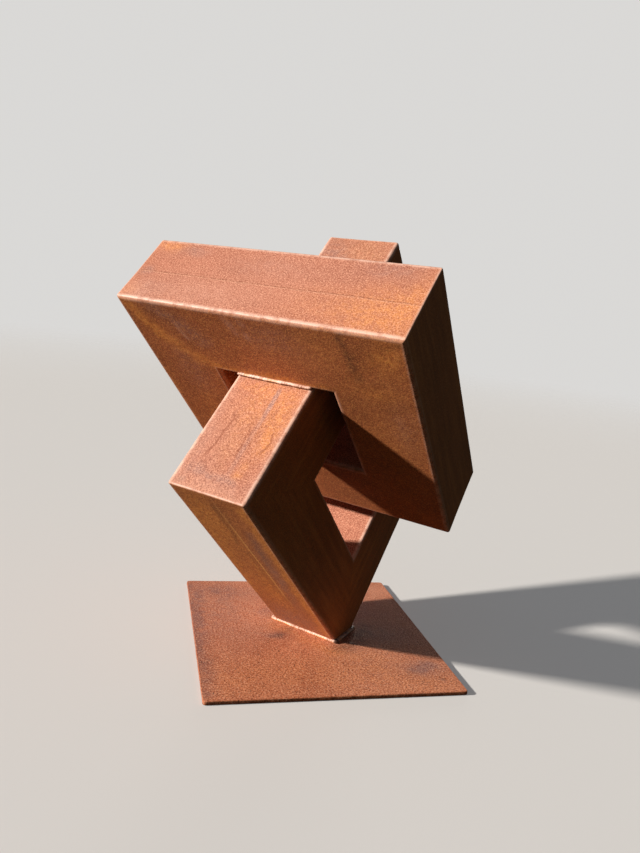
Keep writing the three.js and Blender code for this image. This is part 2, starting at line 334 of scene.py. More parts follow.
def lower_finish(q, normals, extra):
    p = common_finish(q, normals, extra, 60)
    top = on_face(q, normals, 1, -1, 0)
    outer = on_face(q, normals, 0, -1, 0)
    near = on_face(q, normals, 2, -1, 0)
    far_top = smooth(q[:, 0], 255, 290)
    front_top = top * (1 - far_top)
    orange = front_top * (blob(p, (76, 0, 17), (22, 30, 10), 0.9) + blob(q, (29, 0, 28), (5, 30, 5), 1.0)
                          + blob(q, (42, 0, 25), (5, 30, 4), 0.8) + blob(p, (118, 0, 20), (30, 30, 14), 0.65)
                          + blob(p, (120, 0, 55), (30, 30, 12), 0.45) + blob(p, (60, 0, 55), (26, 30, 9), 0.35)
                          + blob(p, (140, 0, 60), (8, 30, 40), 0.35) + blob(p, (120, 0, 40), (60, 30, 60), 0.30))
    orange += far_top * top * (blob(p, (372, 0, 40), (30, 30, 50), 0.7) + blob(p, (300, 0, 10), (30, 30, 16), 0.5))
    orange += outer * (stroke(p, [(0, 12, 7), (0, 150, 7), (0, 340, 6)], 8, 1.3)
                       + stroke(p, [(0, 40, 92), (0, 260, 93)], 7, 0.6)
                       + blob(p, (0, 62, 68), (30, 55, 20), 0.95) + blob(p, (0, 210, 52), (30, 90, 10), 0.5)
                       + blob(p, (0, 150, 82), (30, 90, 13), 0.45) + blob(p, (0, 240, 62), (30, 60, 20), 0.35) + 0.18)
    orange += near * (blob(p, (60, 330, 0), (60, 60, 30), 0.5) + blob(p, (60, 90, 0), (50, 70, 30), 0.25))
    purple = front_top * (stroke(p, [(24, 0, 80), (21, 0, 55), (19, 0, 32)], 6, 0.85) + blob(q, (8, 0, 86), (4, 30, 5), 0.8)
                          + blob(p, (50, 0, 88), (40, 30, 10), 0.35) + blob(p, (12, 0, 20), (10, 30, 14), 0.3))
    purple += far_top * top * (0.48 + blob(p, (340, 0, 78), (36, 30, 20), 0.9))
    purple += outer * (stroke(p, [(0, 70, 22), (0, 115, 26), (0, 200, 27), (0, 270, 30)], 9, 1.0, (0.5, 1, 0.8, 0.3))
                       + blob(p, (0, 325, 45), (30, 42, 34), 0.75) + blob(p, (0, 350, 80), (30, 40, 20), 0.5))
    dark = (outer * (blob(p, (0, 118, 26), (30, 34, 7), 0.45) + blob(p, (0, 45, 42), (30, 26, 4), 0.4)
                     + stroke(p, [(0, 20, 49), (0, 70, 52), (0, 110, 55)], 3.5, 0.75)
                     + stroke(p, [(0, 130, 50), (0, 240, 47)], 2.2, 0.5))
            + front_top * blob(q, (8, 0, 86), (3, 30, 3), 0.5))
    pale = front_top * (stroke(p, [(5, 0, 2), (6, 0, 50), (5, 0, 98)], 9, 0.95)
                        + stroke(p, [(20, 0, 4), (140, 0, 5)], 6, 0.55)
                        + stroke(p, [(20, 0, 94), (140, 0, 95)], 9, 0.6) + blob(p, (60, 0, 66), (60, 30, 26), 0.35))
    pale += far_top * top * stroke(p, [(300, 0, 97), (395, 0, 97)], 4, 0.4)
    # painted shade: the near face and the faces inside the opening are marked for a darker skin
    shade = near * 0.9 + on_face(q, normals, 0, -1, 300, 5) * 0.4 + on_face(q, normals, 1, 1, 100, 5) * 0.4
    bar = extra[:, 4]
    top_seam = q[:, 2] - (38.0 + 0.8 * wander(q * np.array([1.0, 0, 0]), 45, 11))
    out_seam = q[:, 2] - (46.5 - 0.03 * q[:, 1] + 0.6 * wander(q * np.array([0, 1.0, 0]), 40, 12))
    seam = np.where(bar == 0, top_seam, np.where(bar == 3, out_seam, 60.0))
    band = front_top * (bar == 0) * np.interp(q[:, 0], [5, 30, 60, 85, 108, 120, 140, 146], [0.1, 0.25, 0.55, 0.45, 0.9, 1.2, 1.1, 0])
    glow = outer * (bar == 3) * np.interp(q[:, 1], [6, 30, 70, 130, 240, 290, 320], [0, 0.25, 0.7, 1.0, 0.9, 0.4, 0])
    seam_on = (top * (bar == 0) * 0.25 + outer * (bar == 3) * 0.45)
    x = q[:, 0]
    fades = ([36, 50, 88, 108], [0, 1, 1, 0]), ([36, 48, 74, 106], [0, 1, 0.9, 0]), ([54, 64, 86, 94], [0, 1, 0.8, 0])
    runs_on = np.stack([front_top * np.interp(x, *fade) for fade in fades], 1)
    return (orange, purple, dark, pale, shade, seam, seam_on, band, glow,
            front_top * 0.55 + outer * 0.3 + top * far_top * 0.2, runs_on)


def build_ring(name, side, place, finish, count, flats, arcs, seed):
    points, faces, q, normals, extra = ring_surface(side, place, count, flats, arcs, seed)
    orange, purple, dark, pale, shade, seam, seam_on, band, glow, runs, runs_on = finish(q, normals, extra)
    attributes = {
        "skin_co": points * MM,
        "grain_co": grain_coordinates(q, extra),
        "stain_a": np.stack([np.clip(orange, 0, 1.3), np.clip(purple, 0, 1.2), np.clip(dark, 0, 1)], 1),
        # its second channel is the painted shade mask
        "stain_b": np.stack([np.clip(pale, 0, 1.2), np.clip(shade, 0, 1), np.clip(runs, 0, 1)], 1),
        "seam_a": np.stack([seam, seam_on, band], 1),
        "seam_b": np.stack([glow, np.clip(extra[:, 2], 0, 1), extra[:, 1]], 1),
        "edge": extra[:, 0],
        "sky": smooth((normals @ AXES)[:, 2], 0.0, 0.55),
        "run_at": np.stack([off_line(q, path, 2, 0) for path in RUNS], 1),
        "run_on": runs_on,
    }
    return new_mesh(name, to_row(points) * MM, faces, attributes)


if FINE:
    lower_counts, upper_counts = (150, 34, 5), (134, 34, 5)
else:
    lower_counts, upper_counts = (60, 16, 3), (54, 16, 3)
lower_ring = build_ring("lower_ring", LOWER, lower_place, lower_finish, *lower_counts, 1)
upper_ring = build_ring("upper_ring", UPPER, upper_place, upper_finish, *upper_counts, 5)


def cut_level(obj, height):
    """Cuts everything below a height in the row frame off a mesh and closes it flat."""
    import bmesh
    at, up = Vector((0, 0, height * MM)), Vector((0, 0, 1))
    bm = bmesh.new()
    bm.from_mesh(obj.data)
    bmesh.ops.bisect_plane(bm, geom=bm.verts[:] + bm.edges[:] + bm.faces[:], dist=1e-7, plane_co=at, plane_no=up,
                           clear_inner=True)
    rim = [e for e in bm.edges if e.is_boundary]
    made = bmesh.ops.holes_fill(bm, edges=rim, sides=0)
    bm.faces.ensure_lookup_table()
    bm.to_mesh(obj.data)
    bm.free()
    return len(made["faces"])


cut_level(lower_ring, PLATE_T + GAP)
for ring in (lower_ring, upper_ring):
    shade_smooth(ring)

# ---- base plate ---------------------------------------------------------
def rounded_square(half, r, per_side, per_corner):
    """Outline points of a rounded square, with their outward normals."""
    out = []
    for k in range(4):
        turn = k * math.pi / 2
        c, s = round(math.cos(turn)), round(math.sin(turn))
        for x in np.linspace(-half + r, half - r, per_side + 1)[:-1]:
            out.append((x, -half, 0.0, -1.0, c, s))
        for i in range(per_corner):
            a = -math.pi / 2 + math.pi / 2 * i / per_corner
            out.append((half - r + r * math.cos(a), -half + r + r * math.sin(a), math.cos(a), math.sin(a), c, s))
    out = np.array(out)
    c, s = out[:, 4], out[:, 5]
    xy = np.stack([c * out[:, 0] - s * out[:, 1], s * out[:, 0] + c * out[:, 1]], 1)
    n = np.stack([c * out[:, 2] - s * out[:, 3], s * out[:, 2] + c * out[:, 3]], 1)
    return xy, n


def build_plate():
    """A sheared plate: concentric outlines over the top, round the edge and under it."""
    per_side = 124 if FINE else 48
    half = PLATE / 2
    xy, n = rounded_square(half, PLATE_R, per_side, 4)
    count = len(xy)
    # rings from the middle of the top, out over the edge, and back underneath
    inside = np.linspace(0, 1, (62 if FINE else 24) + 1)[1:-1]
    levels = [("top", s * (half - 2.4) / half) for s in inside]
    levels += [("top", (half - 2.2) / half), ("top", (half - 1.2) / half)]
    rows, kind = [], []
    for _, s in levels:
        rows.append(np.column_stack([xy * s, np.full(count, PLATE_T)]))
        kind.append(0)
    for z, back in ((PLATE_T - 0.12, 0.55), (PLATE_T - 0.5, 0.15), (PLATE_T - 1.2, 0.0), (PLATE_T - 2.4, 0.05), (1.4, 0.0), (0.4, 0.15), (0.0, 0.6)):
        rows.append(np.column_stack([xy - n * back, np.full(count, z)]))
        kind.append(1)
    for s in (0.94, 0.7, 0.35):
        rows.append(np.column_stack([xy * s, np.zeros(count)]))
        kind.append(2)
    p = np.concatenate(rows)
    kinds = np.repeat(kind, count)
    top = kinds == 0
    base = p.copy()
    # relief: mill waves, a pitted skin and a slightly ragged sheared edge
    sunk = (0.16 * (0.5 + 0.5 * wander(base, 90, 71)) + 0.14 * (0.5 + 0.5 * wander(base, 26, 72, 2))
            + 0.14 * np.clip(wander(base, 7, 73, 2) - 0.1, 0, 1))
    chip = np.exp(-(np.linalg.norm((base[:, :2] - np.array([146.5, -136])) / np.array([5.0, 2.4]), axis=1)) ** 2)
    sunk = sunk + 1.0 * chip * top
    p[:, 2] -= np.where(top, np.clip(sunk, 0, 1.3), 0)
    rag = 0.35 * (0.5 + 0.5 * wander(base, 12, 74, 3))
    nn = np.tile(n, (len(rows), 1))
    p[:, :2] -= nn * np.where(kinds == 1, rag, 0)[:, None]
    centre_top = np.array([[0, 0, PLATE_T - 0.15]])
    centre_low = np.array([[0, 0, 0.0]])
    points = np.concatenate([p, centre_top, centre_low])
    faces = []
    for i in range(len(rows) - 1):
        a = i * count
        for j in range(count):
            j2 = (j + 1) % count
            faces.append((a + j, a + j2, a + count + j2, a + count + j))
    last = (len(rows) - 1) * count
    for j in range(count):
        j2 = (j + 1) % count
        faces.append((len(points) - 2, j2, j))
        faces.append((len(points) - 1, last + j, last + j2))
    faces = [tuple(reversed(f)) for f in faces]
    q = np.concatenate([base, centre_top, centre_low])
    w = q + 6 * np.stack([wander(q, 24, s, 2) for s in (81, 82, 83)], 1)
    flat = w * np.array([1, 1, 0.0])
    foot = to_row([[0, LOWER, TUBE / 2]])[0]
    orange = (stroke(flat, [(-140, -120, 0), (-40, -110, 0), (60, -120, 0), (130, -135, 0)], 48, 0.55)
              + stroke(flat, [(-52, 14, 0), (-20, -22, 0), (14, -60, 0)], 13, 0.9)
              + blob(flat, (60, -75, 0), (40, 25, 50), 0.3))
    purple = (blob(flat, (128, -108, 0), (28, 17, 50), 1.2) + blob(flat, (-130, 60, 0), (50, 95, 50), 0.60)
              + blob(flat, (90, -20, 0), (70, 30, 50), 0.55) + blob(flat, (-40, 120, 0), (90, 26, 50), 0.30) + stroke(flat, [(-160, 150, 0), (-160, 0, 0), (-160, -150, 0)], 12, 0.8)
              + blob(flat, (-120, 130, 0), (26, 20, 50), 0.6) + blob(flat, (-52, -16, 0), (20, 10, 50), 0.9)
              + blob(flat, (60, 30, 0), (50, 50, 50), 0.4) + stroke(flat, [(-62, 52, 0), (-40, 72, 0)], 10, 0.6)
              + blob(flat, (100, 60, 0), (60, 60, 50), 0.25))
    # the first stroke, beside the foot's shaded side, is painted shade; the other marks are dark stains and the chip
    dark = (stroke(flat, [(34, -52, 0), (56, -28, 0), (82, 4, 0)], 13, 1.0) + stroke(flat, [(-30, 5, 0), (-52, -18, 0)], 7, 0.5) + 0.8 * np.exp(-(np.linalg.norm((q[:, :2] - np.array([146.5, -136])) / np.array([6.0, 3.0]), axis=1)) ** 2)
            + stroke(flat, [(-50, 40, 0), (-30, 60, 0)], 7, 0.5))
    pale = (blob(flat, (-60, 110, 0), (110, 60, 50), 0.8) + blob(flat, (-80, 20, 0), (50, 45, 50), 0.5)
            + blob(flat, (120, 140, 0), (60, 40, 50), 0.7))
    rim = np.exp(-((half - np.maximum(np.abs(q[:, 0]), np.abs(q[:, 1]))) / 1.5) ** 2)
    pits = smooth(-q[:, 1], -60, 110) * 0.85 + 0.15
    obj = new_mesh("plate", points * MM, faces, {
        "grain_co": q * MM * np.array([0.25, 1, 1]),
        "stain_a": np.stack([np.clip(orange, 0, 1.2), np.clip(purple, 0, 1.2), np.clip(dark, 0, 1)], 1),
        "stain_b": np.stack([np.clip(pale, 0, 1), pits, np.zeros(len(q))], 1),
        "edge": rim,
    })
    shade_smooth(obj)
    return obj


plate = build_plate()

# ---- weld beads ---------------------------------------------------------
def frames_along(path, closed, up):
    """Tangent, side and up at each point of a path."""
    nxt = np.roll(path, -1, 0)
    prv = np.roll(path, 1, 0)
    if not closed:
        nxt[-1], prv[0] = path[-1], path[0]
    tangent = nxt - prv
    tangent /= np.linalg.norm(tangent, axis=1, keepdims=True)
    side = np.cross(tangent, up)
    side /= np.linalg.norm(side, axis=1, keepdims=True)
    top = np.cross(side, tangent)
    return tangent, side, top


def resample(path, step, closed):
    pts = np.array(path, float)
    if closed:
        pts = np.concatenate([pts, pts[:1]])
    lengths = np.linalg.norm(np.diff(pts, axis=0), axis=1)
    s = np.concatenate([[0], np.cumsum(lengths)])
    n = max(8, int(round(s[-1] / step)))
    want = np.linspace(0, s[-1], n + 1)
    out = np.stack([np.interp(want, s, pts[:, i]) for i in range(3)], 1)
    return (out[:-1], want[:-1], s[-1]) if closed else (out, want, s[-1])


def bead(name, path, closed, up, radius, ripple, seed, squash=(1.0, 1.0), offset=(0.0, 0.0), around=28, step=0.55, in_rings=False, lows=None, undercut=0.0, lumps=0.13):
    """A weld bead: a rod swept along a path, piled up in overlapping crescents."""
    if not FINE:
        around, step = 14, 1.2
    centre, s, total = resample(path, step, closed)
    if closed:
        # soften the corners, as a welder walks round them
        for _ in range(int(3.0 / step)):
            centre = 0.5 * centre + 0.25 * (np.roll(centre, 1, 0) + np.roll(centre, -1, 0))
    tangent, side, top = frames_along(centre, closed, up)
    q = np.stack([s, np.zeros(len(s)), np.zeros(len(s))], 1)
    swell = 1 + lumps * 1.3 * wander(q, 15, seed) + lumps * wander(q, 5.0, seed + 1)
    drift = 0.5 * wander(q, 17, seed + 2)
    if closed:
        blend = smooth(s, 0, 6) * smooth(total - s, 0, 6)
        swell, drift = 1 + (swell - 1) * blend, drift * blend
    angles = np.linspace(0, 2 * math.pi, around, endpoint=False)
    rings, marks = [], []
    pitch_noise = 0.9 * wander(q, 9, seed + 3)
    for a in angles:
        ca, sa = math.cos(a), math.sin(a)
        # crescents: the ripple lags behind at the toes and leads on the crown
        lag = (1 - sa) * 0.9
        phase = (s + pitch_noise - lag) / ripple
        saw = phase - np.floor(phase)
        scallop = 1 - 0.09 * (1 - np.abs(np.sin(math.pi * saw)) ** 0.6)
        r = radius * swell * scallop
        # a ring bead's underside is narrower and reaches down to the bar below it
        low, slim = (1 + 1.35 * undercut, 1 + 0.45 * undercut * sa) if sa < 0 else (1.0, 1.0)
        place = (centre + side * (ca * r * squash[0] * slim + offset[0] + drift)[:, None]
                 + top * (sa * r * squash[1] * low + offset[1])[:, None])
        rings.append(place)
        # the third mark is painted crevice shade, on the underside of a ring bead
        marks.append(np.stack([scallop, np.full(len(s), sa), np.full(len(s), undercut * float(smooth(-sa, 0.05, 0.55)))], 1))
    grid = np.stack(rings, 1)                     # along, around
    mark = np.stack(marks, 1)
    n, m = grid.shape[:2]
    if not closed:
        # rounded ends
        for end, sign in ((0, 1), (n - 1, -1)):
            for k in range(7):
                i = end + sign * k
                shrink = math.sqrt(max(0.0, 1 - ((7 - k) / 7.2) ** 2))
                mid = grid[i].mean(0)
                grid[i] = mid + (grid[i] - mid) * shrink
    points = grid.reshape(-1, 3)
    faces = []
    spans = n if closed else n - 1
    for i in range(spans):
        for j in range(m):
            i2, j2 = (i + 1) % n, (j + 1) % m
            faces.append((i * m + j, i2 * m + j, i2 * m + j2, i * m + j2))
    if not closed:
        faces.append(tuple(range(m)))
        faces.append(tuple((n - 1) * m + j for j in reversed(range(m))))
    rough = 0.12 * wander(points, 2.2, seed + 6, 2)
    outward = points - np.repeat(grid.mean(1), m, 0)
    outward /= np.linalg.norm(outward, axis=1, keepdims=True) + 1e-9
    points = points + outward * rough[:, None]
    if lows is not None:
        points = lows(points)
    # faces point out
    vol = 0.0
    for f in faces[::7]:
        a, b, c = points[f[0]], points[f[1]], points[f[2]]
        i = f[0] // m
        vol += np.dot(np.cross(b - a, c - a), a - grid[i].mean(0))
    if vol < 0:
        faces = [tuple(reversed(f)) for f in faces]
    flat = mark.reshape(-1, 3)
    points = to_row(points) if in_rings else points
    # painted shade: on the foot, the near side turned from the key light is marked to be painted dark
    painted_shade_side = np.zeros(len(points)) if in_rings else smooth(-to_ring(points)[:, 2], -1.5, 1.5)
    obj = new_mesh(name, points * MM, faces, {"bead": flat, "bead_painted_shade": painted_shade_side})
    shade_smooth(obj)
    return obj


# Foot: the outline of the cut corner on the plate's top face.
def foot_outline():
    corners = {}
    for z in (0.0, TUBE):
        for axis in "xy":
            start = to_row([[0, LOWER, z]])[0]
            direction = -np.array(y_axis) if axis == "x" else np.array(x_axis)
            t = (PLATE_T - start[2]) / direction[2]
            corners[(z, axis)] = start + direction * t
    return [corners[(0.0, "x")], corners[(TUBE, "x")], corners[(TUBE, "y")], corners[(0.0, "y")]]


foot_corners = foot_outline()
foot_centre = sum(foot_corners) / 4
# the bead's centre line runs a little outside and above the outline
foot_path = []
for i, p in enumerate(foot_corners):
    a = foot_corners[i - 1] - p
    b = foot_corners[(i + 1) % 4] - p
    outwards = -(a / np.linalg.norm(a) + b / np.linalg.norm(b))
    foot_path.append(p + outwards * 1.8 + np.array([0, 0, 1.9]))


def keep_on_plate(points):
    points = points.copy()
    points[:, 2] = np.maximum(points[:, 2], PLATE_T + 0.02)
    return points


foot_weld_bead = bead("foot_bead", foot_path, True, np.array([0, 0, 1.0]), 2.9, 3.4, 90, squash=(1.15, 0.9), lows=keep_on_plate, lumps=0.17)

# Between the rings: along the lower bar's width, in the corner under the upper ring.
front_bead = bead("front_ring_bead", [(151.4, -3.1, 1.0), (151.3, -2.7, 50), (151.4, -3.2, 99.0)], False, np.array([0, -1.0, 0]), 1.85, 3.6, 120,
                  squash=(1.1, 0.85), in_rings=True, undercut=1.0, lumps=0.15)
rear_bead = bead("rear_ring_bead", [(253.0, -3.4, 99.0), (253.0, -3.4, 1.0)], False, np.array([0, -1.0, 0]), 2.2, 3.9, 140,
                 squash=(1.1, 0.85), in_rings=True, undercut=1.0, lumps=0.15)

# ---- node materials -----------------------------------------------------
class Graph:
    """Short names for the shader nodes used below."""

    def __init__(self, name):
        self.material = bpy.data.materials.new(name)
        self.material.use_nodes = True
        self.tree = self.material.node_tree
        self.tree.nodes.clear()

    def node(self, kind, **values):
        n = self.tree.nodes.new(kind)
        for k, v in values.items():
            setattr(n, k, v)
        return n

    def put(self, socket, value):
        if isinstance(value, bpy.types.NodeSocket):
            self.tree.links.new(value, socket)
        elif value is not None:
            if socket.type == "RGBA" and len(value) == 3:
                value = (*value, 1.0)
            socket.default_value = value

    def coords(self):
        return self.node("ShaderNodeTexCoord").outputs["Object"]

    def attribute(self, name):
        return self.node("ShaderNodeAttribute", attribute_name=name)

    def split(self, name):
        n = self.node("ShaderNodeSeparateXYZ")
        self.put(n.inputs[0], self.attribute(name).outputs["Vector"])
        return n.outputs[0], n.outputs[1], n.outputs[2]

    def noise(self, vector, scale, detail=3.0, rough=0.5, distortion=0.0):
        n = self.node("ShaderNodeTexNoise")
        self.put(n.inputs["Vector"], vector)
        self.put(n.inputs["Scale"], scale)
        self.put(n.inputs["Detail"], detail)
        self.put(n.inputs["Roughness"], rough)
        self.put(n.inputs["Distortion"], distortion)
        return n.outputs["Fac"]

    def cells(self, vector, scale, randomness=1.0):
        n = self.node("ShaderNodeTexVoronoi")
        self.put(n.inputs["Vector"], vector)
        self.put(n.inputs["Scale"], scale)
        self.put(n.inputs["Randomness"], randomness)
        return n.outputs["Distance"]

    def math(self, operation, a, b=None, c=None, clamp=False):
        n = self.node("ShaderNodeMath", operation=operation, use_clamp=clamp)
        for socket, value in zip(n.inputs, (a, b, c)):
            if value is not None:
                self.put(socket, value)
        return n.outputs[0]

    def add(self, *terms):
        total = terms[0]
        for t in terms[1:]:
            total = self.math("ADD", total, t)
        return total

    def mul(self, *terms):
        total = terms[0]
        for t in terms[1:]:
            total = self.math("MULTIPLY", total, t)
        return total

    def ramp(self, value, low, high, to_low=0.0, to_high=1.0, kind="SMOOTHSTEP"):
        n = self.node("ShaderNodeMapRange", interpolation_type=kind)
        for key, v in (("Value", value), ("From Min", low), ("From Max", high), ("To Min", to_low), ("To Max", to_high)):
            self.put(n.inputs[key], v)
        return n.outputs["Result"]

    def colours(self, value, stops):
        n = self.node("ShaderNodeValToRGB")
        while len(n.color_ramp.elements) < len(stops):
            n.color_ramp.elements.new(0.5)
        for element, (at, colour) in zip(n.color_ramp.elements, stops):
            element.position = at
            element.color = (*colour, 1.0)
        self.put(n.inputs[0], value)
        return n.outputs["Color"]

    def mix(self, factor, a, b, blend="MIX"):
        n = self.node("ShaderNodeMix", data_type="RGBA", blend_type=blend)
        self.put(n.inputs["Factor"], factor)
        self.put(n.inputs[6], a)
        self.put(n.inputs[7], b)
        return n.outputs[2]

    def bump(self, height, distance, strength=1.0, before=None):
        n = self.node("ShaderNodeBump")
        self.put(n.inputs["Strength"], strength)
        self.put(n.inputs["Distance"], distance)
        self.put(n.inputs["Height"], height)
        if before is not None:
            self.put(n.inputs["Normal"], before)
        return n.outputs["Normal"]

    def finish(self, colour, roughness, normal, specular=0.5, ior=1.5):
        shader = self.node("ShaderNodeBsdfPrincipled")
        out = self.node("ShaderNodeOutputMaterial")
        self.put(shader.inputs["Base Color"], colour)
        self.put(shader.inputs["Roughness"], roughness)
        self.put(shader.inputs["Normal"], normal)
        shader.inputs["Metallic"].default_value = 0.0
        shader.inputs["IOR"].default_value = ior
        shader.inputs["Specular IOR Level"].default_value = specular
        self.tree.links.new(shader.outputs[0], out.inputs["Surface"])
        return self.material


# linear colours of weathered mild steel
RUST_DEEP = (0.170, 0.044, 0.015)
RUST_BROWN = (0.255, 0.068, 0.022)
RUST_MID = (0.345, 0.095, 0.031)
RUST_LIGHT = (0.410, 0.120, 0.041)
RUST_ORANGE = (0.560, 0.185, 0.040)
RUST_YELLOW = (0.640, 0.270, 0.065)
SCALE_GREY = (0.270, 0.145, 0.130)
DUST_PINK = (0.560, 0.300, 0.230)
NEAR_BLACK_BROWN = (0.070, 0.026, 0.011)


def tube_rust():
    g = Graph("rusted_tube")
    co = g.attribute("skin_co").outputs["Vector"]
    grain = g.attribute("grain_co").outputs["Vector"]
    orange, purple, dark = g.split("stain_a")
    pale, shade, runs = g.split("stain_b")
    seam, seam_on, band = g.split("seam_a")
    glow, ground, crest = g.split("seam_b")
    edge = g.attribute("edge").outputs["Fac"]
    sky = g.attribute("sky").outputs["Fac"]

    speck = g.noise(co, 600.0, 2.0, 0.55)
    fine = g.noise(co, 1050.0, 1.0, 0.5)
    crumb = g.noise(co, 260.0, 2.0, 0.6)
    mottle = g.noise(co, 120.0, 3.0, 0.55)
    patch = g.noise(co, 30.0, 3.0, 0.5, 0.3)
    drift = g.noise(co, 7.0, 2.0, 0.5)
    streak = g.noise(grain, 110.0, 4.0, 0.6)
    tide = g.noise(grain, 60.0, 2.0, 0.5, 0.25)

    tone = g.add(g.mul(patch, 0.28), g.mul(mottle, 0.28), g.mul(drift, 0.22), g.mul(streak, 0.22))
    low = g.colours(tone, [(0.38, RUST_BROWN), (0.50, RUST_MID), (0.62, RUST_LIGHT)])
    # upward faces take paler, pinker colours: painted sheen of the lit tops
    high = g.colours(tone, [(0.38, (0.340, 0.108, 0.062)), (0.50, (0.410, 0.140, 0.082)), (0.62, (0.475, 0.172, 0.104))])
    colour = g.mix(sky, low, high)

    # named stains, their edges broken by the mottle
    def broken(amount, spread=0.9):
        return g.math("MULTIPLY", amount, g.ramp(mottle, 0.32, 0.64, 1.0 - spread * 0.55, 1.0 + spread * 0.25), clamp=True)

    bloom = g.colours(crumb, [(0.38, (0.540, 0.165, 0.030)), (0.55, (0.660, 0.230, 0.045)), (0.72, (0.760, 0.320, 0.070))])
    # on upward faces the orange bloom turns paler: painted sheen
    colour = g.mix(g.mul(broken(orange), 0.88), colour, g.mix(g.mul(sky, 0.30), bloom, (0.62, 0.28, 0.15)))
    colour = g.mix(g.mul(broken(purple), 0.70), colour, SCALE_GREY)
    colour = g.mix(g.mul(broken(pale, 0.6), 0.55), colour, DUST_PINK)
    colour = g.mix(g.mul(broken(dark), 0.72), colour, NEAR_BLACK_BROWN)

    # run marks: thin wavy lines drawn out along the bar, and three long ones
    line = g.ramp(g.math("ABSOLUTE", g.math("SUBTRACT", tide, 0.5)), 0.003, 0.016, 1.0, 0.0)
    line = g.mul(line, runs, g.ramp(patch, 0.42, 0.56))
    colour = g.mix(g.mul(line, 0.42), colour, RUST_BROWN)
    run_1, run_2, run_3 = g.split("run_at")
    on_1, on_2, on_3 = g.split("run_on")
    waver = g.math("MULTIPLY_ADD", g.math("SUBTRACT", mottle, 0.5), 5.0, g.mul(g.math("SUBTRACT", crumb, 0.5), 2.5))
    long_run = None
    for at, on in ((run_1, on_1), (run_2, on_2), (run_3, on_3)):
        mark = g.mul(g.ramp(g.math("ABSOLUTE", g.math("ADD", at, waver)), 0.5, 2.0, 1.0, 0.0), on)
        long_run = mark if long_run is None else g.math("MAXIMUM", long_run, mark)
    long_run = g.mul(long_run, g.ramp(patch, 0.34, 0.52, 0.35, 1.0))

    # the tube's own seam: two faint lines, a grey band on one bar, a bright run on another
    wobble = g.math("MULTIPLY_ADD", g.math("SUBTRACT", mottle, 0.5), 1.6, seam)
    off = g.math("ABSOLUTE", wobble)
    thin = g.ramp(off, 0.35, 1.05, 1.0, 0.0)
    lit = g.ramp(g.math("ABSOLUTE", g.math("ADD", wobble, 1.5)), 0.35, 1.0, 1.0, 0.0)
    second = g.ramp(g.math("ABSOLUTE", g.math("SUBTRACT", wobble, 3.6)), 0.3, 1.0, 1.0, 0.0)
    seam_mask = g.mul(seam_on, g.ramp(crumb, 0.40, 0.54, 0.25, 1.0))
    colour = g.mix(g.mul(thin, seam_mask, 0.80), colour, (0.230, 0.062, 0.026))
    colour = g.mix(g.mul(lit, seam_mask, 0.50), colour, (0.640, 0.330, 0.215))
    colour = g.mix(g.mul(second, seam_mask, 0.28), colour, RUST_BROWN)
    greyed = g.mul(g.ramp(off, 1.8, 3.8, 1.0, 0.0), band, g.ramp(streak, 0.30, 0.52, 0.45, 1.0))
    colour = g.mix(g.mul(greyed, 0.62), colour, (0.330, 0.205, 0.195))
    flame = g.mul(g.ramp(off, 0.5, 2.2, 1.0, 0.0), glow, g.ramp(streak, 0.34, 0.50, 0.3, 1.0))
    colour = g.mix(g.mul(flame, 0.95), colour, (0.760, 0.340, 0.090))

    # speckled skin
    glint = g.mix(sky, (0.660, 0.270, 0.085), (0.780, 0.400, 0.260))
    colour = g.mix(g.ramp(speck, 0.50, 0.68, 0.0, 0.62), colour, glint)
    colour = g.mix(g.ramp(speck, 0.50, 0.33, 0.0, 0.72), colour, g.mix(0.72, colour, (0.150, 0.038, 0.014)))
    colour = g.mix(g.ramp(fine, 0.54, 0.70, 0.0, 0.42), colour, glint)
    colour = g.mix(g.ramp(fine, 0.46, 0.30, 0.0, 0.50), colour, (0.130, 0.036, 0.014))
    colour = g.mix(g.ramp(crumb, 0.42, 0.28, 0.0, 0.20), colour, (0.190, 0.052, 0.022))

    colour = g.mix(g.mul(long_run, 0.62), colour, (0.230, 0.058, 0.024))

    # ground and handled edges are smoother; their paler colour, stronger on upward faces, is partly wear and partly a
    # painted highlight
    rim = g.math("MAXIMUM", g.math("POWER", edge, 2.5), crest)
    wear_and_highlight = g.math("MULTIPLY", rim, g.ramp(mottle, 0.36, 0.56, 0.45, 1.0), clamp=True)
    colour = g.mix(g.mul(wear_and_highlight, g.ramp(sky, 0.0, 0.5, 0.34, 0.78)), colour, (0.740, 0.480, 0.380))
    colour = g.mix(g.mul(ground, 0.14), colour, RUST_ORANGE)
    # painted shade: the sides turned from the key light and the faces inside the openings get a darker, browner skin
    painted_shade_skin = g.colours(streak, [(0.36, (0.160, 0.066, 0.016)), (0.50, (0.230, 0.096, 0.024)), (0.64, (0.330, 0.150, 0.038))])
    colour = g.mix(g.mul(shade, 0.55), colour, painted_shade_skin)

    rough = g.add(0.70, g.mul(g.math("SUBTRACT", mottle, 0.5), 0.22), g.mul(wear_and_highlight, -0.24), g.mul(orange, 0.05), g.mul(purple, -0.08))
    rough = g.math("MINIMUM", g.math("MAXIMUM", rough, 0.36), 0.92)

    height = g.add(g.mul(speck, 0.45), g.mul(fine, 0.16), g.mul(crumb, 0.45), g.mul(mottle, 0.55), g.mul(thin, seam_mask, -0.30),
                   g.mul(lit, seam_mask, 0.16), g.mul(line, -0.15), g.mul(long_run, -0.30))
    normal = g.bump(height, 0.00040, 0.75)
    return g.finish(colour, rough, normal, 0.32)


